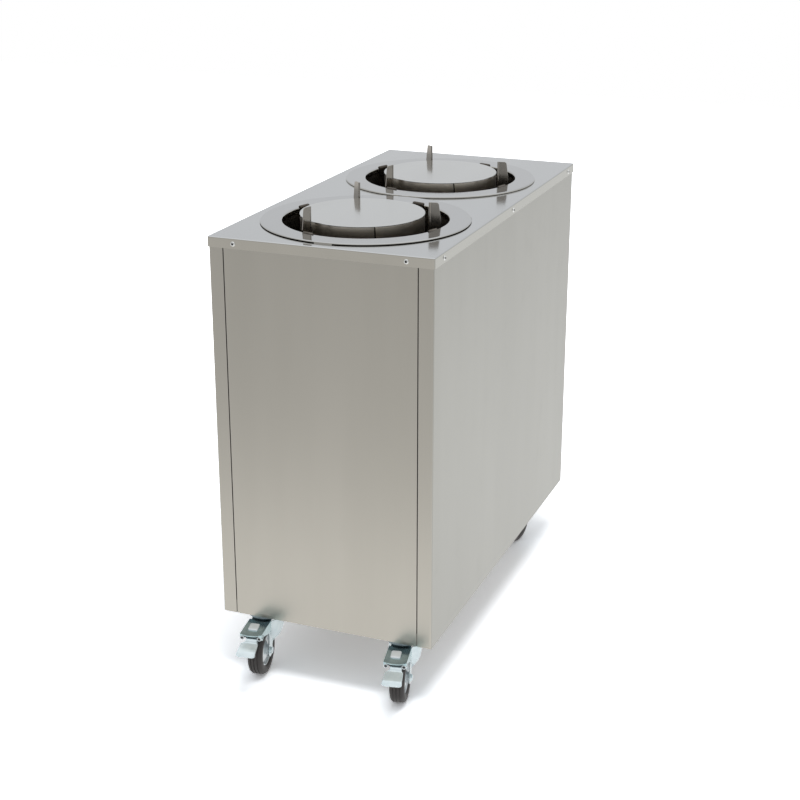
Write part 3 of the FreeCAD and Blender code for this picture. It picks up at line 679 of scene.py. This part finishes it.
# radius and distance from the wheel's middle, for one half of the section
tyreShape = {
    "wall": [(32.0, 11.4), (33.2, 13.2), (36.0, 14.6), (41.0, 15.0), (44.5, 14.7), (47.3, 13.1),
             (49.0, 10.6), (49.75, 8.4)],
    "tread": [(49.8, 8.0), (48.3, 7.6), (48.3, 6.2), (49.85, 5.8), (50.0, 3.6), (50.0, 1.5),
              (48.3, 1.1)],
    "steps": 72,
}


def tyre(name, matrix):
    half = tyreShape["wall"] + tyreShape["tread"]
    form = Form().lathe(mirrored(half), tyreShape["steps"], "y", axleSpot)
    replaced = ["tyre_" + name]
    form.make("tyre" + tag(name), "tyre", "tyre_rubber", "wheel_" + name, replaced, matrix)


rimShape = {
    "half": [(4.05, 17.2), (10.2, 17.2), (11.0, 16.4), (11.0, 13.4), (12.2, 12.6), (14.5, 11.9),
             (24.6, 8.7), (25.8, 8.0), (26.0, 6.4), (26.4, 5.6), (29.0, 5.6), (29.5, 6.2),
             (29.5, 10.6), (29.9, 11.3), (30.8, 11.5), (31.7, 11.3), (31.95, 10.6), (31.95, 9.0)],
    "steps": 72,
}


def rim(name, matrix):
    form = Form().lathe(mirrored(rimShape["half"]), rimShape["steps"], "y", axleSpot)
    body, replaced = "wheel_" + name, ["rim_" + name]
    form.make("rim" + tag(name), "rim", "zinc_plated_steel", body, replaced, matrix, sharp=28)


# a bolt head and a washer; a third value marks a six sided ring
axleShape = {
    "half": [(core, 22.2), (1.2, 22.2), (1.6, 23.2), (5.6, 24.0, 1), (6.4, 23.6, 1),
             (6.5, 20.8, 1), (7.4, 20.7), (7.5, 20.05), (3.98, 20.05), (3.98, 0)],
    "steps": 48,
}


def axle(name, matrix):
    form = Form().lathe(mirrored(axleShape["half"]), axleShape["steps"], "y", axleSpot)
    body, replaced = "swivel_" + name, ["axle_" + name]
    form.make("axle" + tag(name), "zinc", "zinc_plated_steel", body, replaced, matrix, sharp=30)


forkShape = {
    # level, front edge, back edge and radius of the bulge
    "levels": ((111.5, 55, -22, 37.5), (104, 52, -15, 37.2), (96, 48.5, -8, 36.6),
               (88, 47, 0, 35.8), (80, 46.5, 7, 34.6), (73, 46.5, 13, 33.0),
               (67, 47, 19, 30.5), (62.5, 49, 24, 27.0), (58, 51.2, 27.4, 23.0),
               (53, 52.7, 27.3, 20.2), (48, 52.8, 27.2, 20.0), (43, 50.9, 29.1, 20.0),
               (39.5, 47.6, 32.4, 20.0), (37.2, 42.4, 37.6, 20.0)),
    "flat": 20.0, "sheet": 2.5, "steps": 16, "slimLeg": 30.0, "headSteps": 60,
    "head": ((6.1, 111.5), (32.4, 111.5), (33.0, 112.5), (32.6, 116.4), (31.4, 117.6),
             (6.1, 117.6)),
    "crown": ((-57, -19.8), (-57, 19.8), (-20, 19.8), (-20, -19.8)), "crownCorner": 3,
    "crownFoot": 111.5, "crownTop": 113.6,
}


def fork(name, matrix):
    # two bulged legs that narrow from the swivel head to the axle, one slimmer at the top
    f = forkShape
    form = Form()
    for sign in (-1, 1):
        rings = []
        for z, front, back, radius in f["levels"]:
            reach = min(radius, f["slimLeg"]) if sign > 0 else radius
            line = []
            for step in range(f["steps"] + 1):
                s = front + (back - front) * step / f["steps"]
                bulge = math.sqrt(max(reach ** 2 - s ** 2, 0.0))
                line.append((s, max(f["flat"], bulge)))
            outside = [(-s, sign * y, z) for s, y in line]
            inside = [(-s, sign * (y - f["sheet"]), z) for s, y in reversed(line)]
            rings.append(outside + inside)
        form.loft(rings)
    body, replaced = "swivel_" + name, ["fork_" + name]
    form.make("fork" + tag(name), "zinc", "zinc_plated_steel", body, replaced, matrix, sharp=50)
    head = Form().lathe(f["head"], f["headSteps"], "z")
    head.prism(rounded(f["crown"], f["crownCorner"]), f["crownFoot"], f["crownTop"], "z")
    # the swivel head takes the darker zinc copy: painted shade
    head.make("forkHead" + tag(name), "head", "zinc_plated_steel", body, None, matrix, sharp=30)


coverShape = {
    "top": 116.0, "front": 106.0, "back": 40.0, "half": 22.4, "sheet": 2.0,
    # the dished skin: shares of the half width, and the lift and depth of the dish
    "spans": (0.965, 0.9, 0.82, 0.7, 0.5, 0.25, 0.0), "lip": 0.4, "dishLift": 1.1, "dish": 3.2,
    "lipInside": 2.4, "narrower": 0.9,
    # distance back from the front, narrowing, cheek depth and lift
    "frontRows": ((0, 2.8, 4.6, 0.2), (0.8, 1.3, 5.0, 0.6), (2.6, 0, 5.4, 0.5), (6, 0, 6.4, 0.0),
                  (14, 0, 8.8, 0.0)),
    # distance ahead of the swivel, or ahead of the back, and cheek depth
    "middleRows": ((75, 14.0), (60, 18.6), (56, 19.0)),
    "backRows": ((6, 19.0), (1.5, 17.5), (0, 15.0)),
    # the boss round the pin: radius and distance in from the cheek's face
    "boss": ((6.0, 2.0), (6.0, 0), (4.6, 0), (3.0, 0), (2.6, 0.3), (2.6, 2.0)), "bossSteps": 32,
    "tabX": (-83, -62), "tabY": (-7, 13), "tabCorner": 4.0, "tabDrop": 1.2, "tabSlope": 0.17,
    "tabRows": ((0, -1.5), (0.2, 0.4), (1.0, 1.3), (2.4, 1.7)),
    # the rolled front corners: radius and distance back from the front
    "eye": ((2.9, 3.0), (2.9, 0.5), (3.3, 0), (4.1, 0), (4.6, 0.6), (4.6, 3.0)),
    # the eye's hole is a near black disc: painted shade in the rolled corner
    "eyeHole": ((core, 3.0), (2.8, 3.0), (2.8, 1.4), (core, 1.2)),
    "eyeOut": 17.6, "eyeUp": 0.6, "eyeSteps": 28,
}


def coverSection(s, width, depth, lift=0.0):
    # a dished sheet between two raised edges, and a cheek down each side
    c = coverShape
    top, sheet = c["top"], c["sheet"]
    skin = [(width * share, top + c["dishLift"] + lift - c["dish"] * (1 - share ** 3))
            for share in c["spans"]]
    outer = [(width, top - depth), (width, top + c["lip"] + lift)] + skin
    inner = [(width - sheet, top - depth), (width - sheet, top - c["lipInside"] + lift)]
    inner += [(y * c["narrower"], z - sheet) for y, z in skin[1:]]
    line = outer + [(-y, z) for y, z in reversed(outer[:-1])]
    line += [(-y, z) for y, z in inner] + list(reversed(inner[:-1]))
    return [(-s, y, z) for y, z in line]


def cover(name, matrix):
    # a folded plate over the wheel, with cheeks, a pressed tab and a hole round the pin
    c = coverShape
    half, body = c["half"], "swivel_" + name
    rows = [(c["front"] - s, half - less, depth, lift) for s, less, depth, lift in c["frontRows"]]
    rows += [(s, half, depth) for s, depth in c["middleRows"]]
    rows += [(c["back"] + s, half, depth) for s, depth in c["backRows"]]
    form = Form().loft([coverSection(*row) for row in rows])
    for sign in (-1, 1):
        boss = [(radius, sign * (half - inward)) for radius, inward in c["boss"]]
        form.lathe(boss, c["bossSteps"], "y", pinSpot)
    piece, replaced = "brakeCover" + tag(name), ["brake_cover_" + name]
    form.make(piece, "cover", "zinc_plated_steel", body, replaced, matrix, sharp=34)
    # the pressed tab slopes down to the front, and the front corners are rolled round the pin
    # the tab and the rolled corners take the brighter rim finish as a painted highlight; a near
    # black disc in each rolled corner is painted shade
    paintedHighlight, dark = Form(), Form()
    tab = []
    (front, back), (left, right) = c["tabX"], c["tabY"]
    for inset, rise in c["tabRows"]:
        outline = [(back - inset, left + inset), (back - inset, right - inset),
                   (front + inset, right - inset), (front + inset, left + inset)]
        tab.append([(x, y, c["top"] - c["tabDrop"] + rise + (x - front) * c["tabSlope"])
                    for x, y in rounded(outline, c["tabCorner"] - inset)])
    paintedHighlight.loft(tab)
    for sign in (-1, 1):
        corner = (0, sign * c["eyeOut"], caster["pinLevel"] + c["eyeUp"])
        for shape, profile in ((paintedHighlight, c["eye"]), (dark, c["eyeHole"])):
            placed = [(radius, s - c["front"]) for radius, s in profile]
            shape.lathe(placed, c["eyeSteps"], "x", corner)
    paintedHighlight.make("coverTab" + tag(name), "rim", "zinc_plated_steel", body, None, matrix, sharp=34)
    dark.make("coverEyes" + tag(name), "pin", "zinc_plated_steel", body, None, matrix, sharp=34)


pedalShape = {
    # distance ahead of the swivel, level, half width and sideways shift
    "path": ((99.0, 107.6, 11.5, -2.5), (104.5, 107.4, 11.5, -2.5), (107.6, 106.0, 11.5, -2.5),
             (109.6, 103.6, 11.8, -2.4), (110.8, 101.8, 13.5, -1.6), (112.4, 100.7, 16.6, -0.4),
             (114.5, 100.0, 17.8, 0), (124.0, 97.0, 18.2, 0), (133.5, 94.2, 18.7, 0),
             (136.4, 92.9, 19.0, 0), (139.5, 90.4, 19.6, 0), (141.6, 88.9, 19.2, 0),
             (143.0, 87.9, 17.6, 0), (143.8, 87.35, 14.5, 0)),
    "halfThick": 1.25, "edge": 0.5, "chamfer": 0.6,
    "pin": [(core, 22.2), (2.0, 22.2), (2.45, 21.8), (2.45, 12.0), (3.6, 11.6)], "pinSteps": 24,
    "fingerHalf": 4.4, "fingerWide": 7, "fingerGap": 0.8, "fingerNotch": 0.2,
}


def pedal(name, matrix):
    # the foot plate: a narrow neck that flares to a wide, twice bent pad
    p = pedalShape
    path, thick, edge, chamfer = p["path"], p["halfThick"], p["edge"], p["chamfer"]
    body, replaced = "pedal_" + name, ["brake_pedal_" + name]
    form = Form()
    rings = []
    for index, (s, z, half, shift) in enumerate(path):
        before, after = path[max(index - 1, 0)], path[min(index + 1, len(path) - 1)]
        ds, dz = after[0] - before[0], after[1] - before[1]
        length = math.hypot(ds, dz)
        ns, nz = -dz / length * thick, ds / length * thick
        line = [(half, -1 + edge), (half, 1 - edge), (half - chamfer, 1), (-half + chamfer, 1),
                (-half, 1 - edge), (-half, -1 + edge), (-half + chamfer, -1), (half - chamfer, -1)]
        rings.append([(-(s + ns * side), shift + y, z + nz * side) for y, side in line])
    form.loft(rings)
    pin = Form().lathe(mirrored(p["pin"]), p["pinSteps"], "y", pinSpot)
    pin.make("pedalPin" + tag(name), "pin", "zinc_plated_steel", body, None, matrix)
    # the finger that points from the pin at the wheel
    start, wheel = Vector(pinSpot), Vector(axleSpot)
    toward = (wheel - start).normalized()
    reach = (wheel - start).length - caster["wheel"] - p["fingerGap"]
    across = Vector((-toward.z, 0, toward.x)) * p["fingerHalf"]
    ahead = toward * (reach + p["fingerNotch"])
    corners = [start + across, start + across + ahead, start + toward * reach,
               start - across + ahead, start - across]
    outline = [(corner.x, corner.z) for corner in corners]
    form.prism(outline, -p["fingerWide"], p["fingerWide"], "y")
    piece = "brakePedal" + tag(name)
    form.make(piece, "zinc", "zinc_plated_steel", body, replaced, matrix, sharp=36)


for name in casters:
    matrix = casterMatrix(name)
    tyre(name, matrix)
    rim(name, matrix)
    fork(name, matrix)
    axle(name, matrix)
    if name in braked:
        cover(name, matrix)
        pedal(name, matrix)
print("stage: casters")


cabinetX = (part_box("side_panel_right")[0].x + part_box("side_panel_right")[1].x) / 2

# the studio and the camera are in metres
ground = {
    "half": 7.0, "level": -0.0004, "cloud": (3.0, 2.0, 0.5), "cloudShare": 0.1,
    "plain": (0.83, 0.85, 0.88), "clouded": (0.86, 0.87, 0.88),
    "camera": (2.00, 2.03, 2.08), "mirror": (0.27, 0.275, 0.28),
    "cameraGlow": 0.07, "whiteFrom": 0.95, "whiteTo": 2.0,
    "mirrorGlow": 0.78, "fade": -0.265, "fadeX": (-1.7, -0.75),
    "fadeY": (-2.2, -0.9), "shareY": 0.4, "farY": (0.3, 1.1), "fadeFar": -0.06,
}


def makeFloor():
    g = ground
    mesh = bpy.data.meshes.new("studioFloor")
    square = [(-g["half"], -g["half"]), (g["half"], -g["half"]), (g["half"], g["half"]),
              (-g["half"], g["half"])]
    mesh.from_pydata([(x, y, g["level"]) for x, y in square], [], [(0, 1, 2, 3)])
    floor = addObject("studioFloor", mesh)
    paint = Finish("floorPaint")
    camera, mirror = paint.rays()
    cloud = paint.noise(g["cloud"], paint.place())
    plain = paint.mix(cloud * g["cloudShare"], g["plain"], g["clouded"])
    colour = paint.mix(camera, paint.mix(mirror, plain, g["mirror"]), g["camera"])
    matte = paint.node("ShaderNodeBsdfDiffuse", {}, {"Color": colour})
    # mirrors see the floor grow darker away from the cart, most of all towards the camera
    x, y, z = paint.parts(paint.place())
    away = paint.ramp(x, *g["fadeX"], g["fade"], 0.0)
    away = away + paint.ramp(y, *g["fadeY"], g["fade"] * g["shareY"], 0.0)
    away = away + paint.ramp(y, *g["farY"], 0.0, g["fadeFar"])
    # the camera sees it turn white away from the cart
    gone = ((x - cabinetX) * (x - cabinetX) + y * y) ** 0.5
    white = paint.ramp(gone, g["whiteFrom"], g["whiteTo"], g["cameraGlow"], 1.0)
    strength = camera * white + mirror * (away + g["mirrorGlow"])
    strength = paint.maths("MAXIMUM", strength, 0.0)
    glow = paint.node("ShaderNodeEmission", {}, {"Color": (1, 1, 1), "Strength": strength})
    both = paint.node("ShaderNodeAddShader", {}, {0: matte, 1: glow})
    paint.tree.links.new(both.socket, paint.output.inputs["Surface"])
    mesh.materials.append(paint.material)


sky = {
    "light": 0.72, "back": 0.52, "top": 0.35, "fill": 0.46, "colour": (0.97, 0.985, 1.0),
    "backToFront": (-0.7, 0.5), "topFrom": (0.45, 0.85),
}


def makeWorld():
    # the camera sees white, mirrors see a soft studio, and the rest is lit evenly
    world = bpy.data.worlds.new("studioWorld")
    bpy.context.scene.world = world
    world.use_nodes = True
    paint = Paint(world.node_tree, "ShaderNodeOutputWorld")
    x, y, z = paint.parts(paint.node("ShaderNodeTexCoord", out="Generated"))
    camera, mirror = paint.rays()
    strength = paint.ramp(x, *sky["backToFront"], sky["back"], sky["light"])
    strength = strength + paint.ramp(z, *sky["topFrom"], 0.0, sky["top"])
    strength = strength * mirror + (1.0 - mirror) * sky["fill"]
    soft = paint.node("ShaderNodeBackground", {}, {"Color": sky["colour"], "Strength": strength})
    white = paint.node("ShaderNodeBackground", {}, {"Color": (1, 1, 1), "Strength": 1.0})
    both = paint.node("ShaderNodeMixShader", {}, {0: camera, 1: soft, 2: white})
    paint.tree.links.new(both.socket, paint.output.inputs["Surface"])


keyLight = {"place": (-0.35, -0.45, 3.4), "target": (0, 0, 0.4), "size": 1.8, "energy": 62.0}


def makeLight():
    data = bpy.data.lights.new("keyLight", "AREA")
    data.shape = "DISK"
    data.size = keyLight["size"]
    data.energy = keyLight["energy"]
    lamp = addObject("keyLight", data)
    lamp.location = keyLight["place"]
    lamp.visible_glossy = False
    ahead = Vector(keyLight["target"]) - Vector(keyLight["place"])
    lamp.rotation_euler = ahead.to_track_quat("-Z", "Y").to_euler()


view = {
    "place": (cabinetX - 2.943587, -1.138959, 1.598813), "yaw": 21.4745, "pitch": -19.948,
    "lens": 70.132, "sensor": 36.0,
}


def makeCamera():
    data = bpy.data.cameras.new("photoCamera")
    data.sensor_width = view["sensor"]
    data.sensor_fit = "HORIZONTAL"
    data.lens = view["lens"]
    camera = addObject("photoCamera", data)
    yaw, pitch = math.radians(view["yaw"]), math.radians(view["pitch"])
    level = math.cos(pitch)
    ahead = Vector((level * math.cos(yaw), level * math.sin(yaw), math.sin(pitch)))
    camera.location = view["place"]
    camera.rotation_euler = ahead.to_track_quat("-Z", "Y").to_euler()
    bpy.context.scene.camera = camera


bpy.context.scene.view_settings.view_transform = "Standard"
makeFloor()
makeWorld()
makeLight()
makeCamera()
print("stage: floor, light and camera")
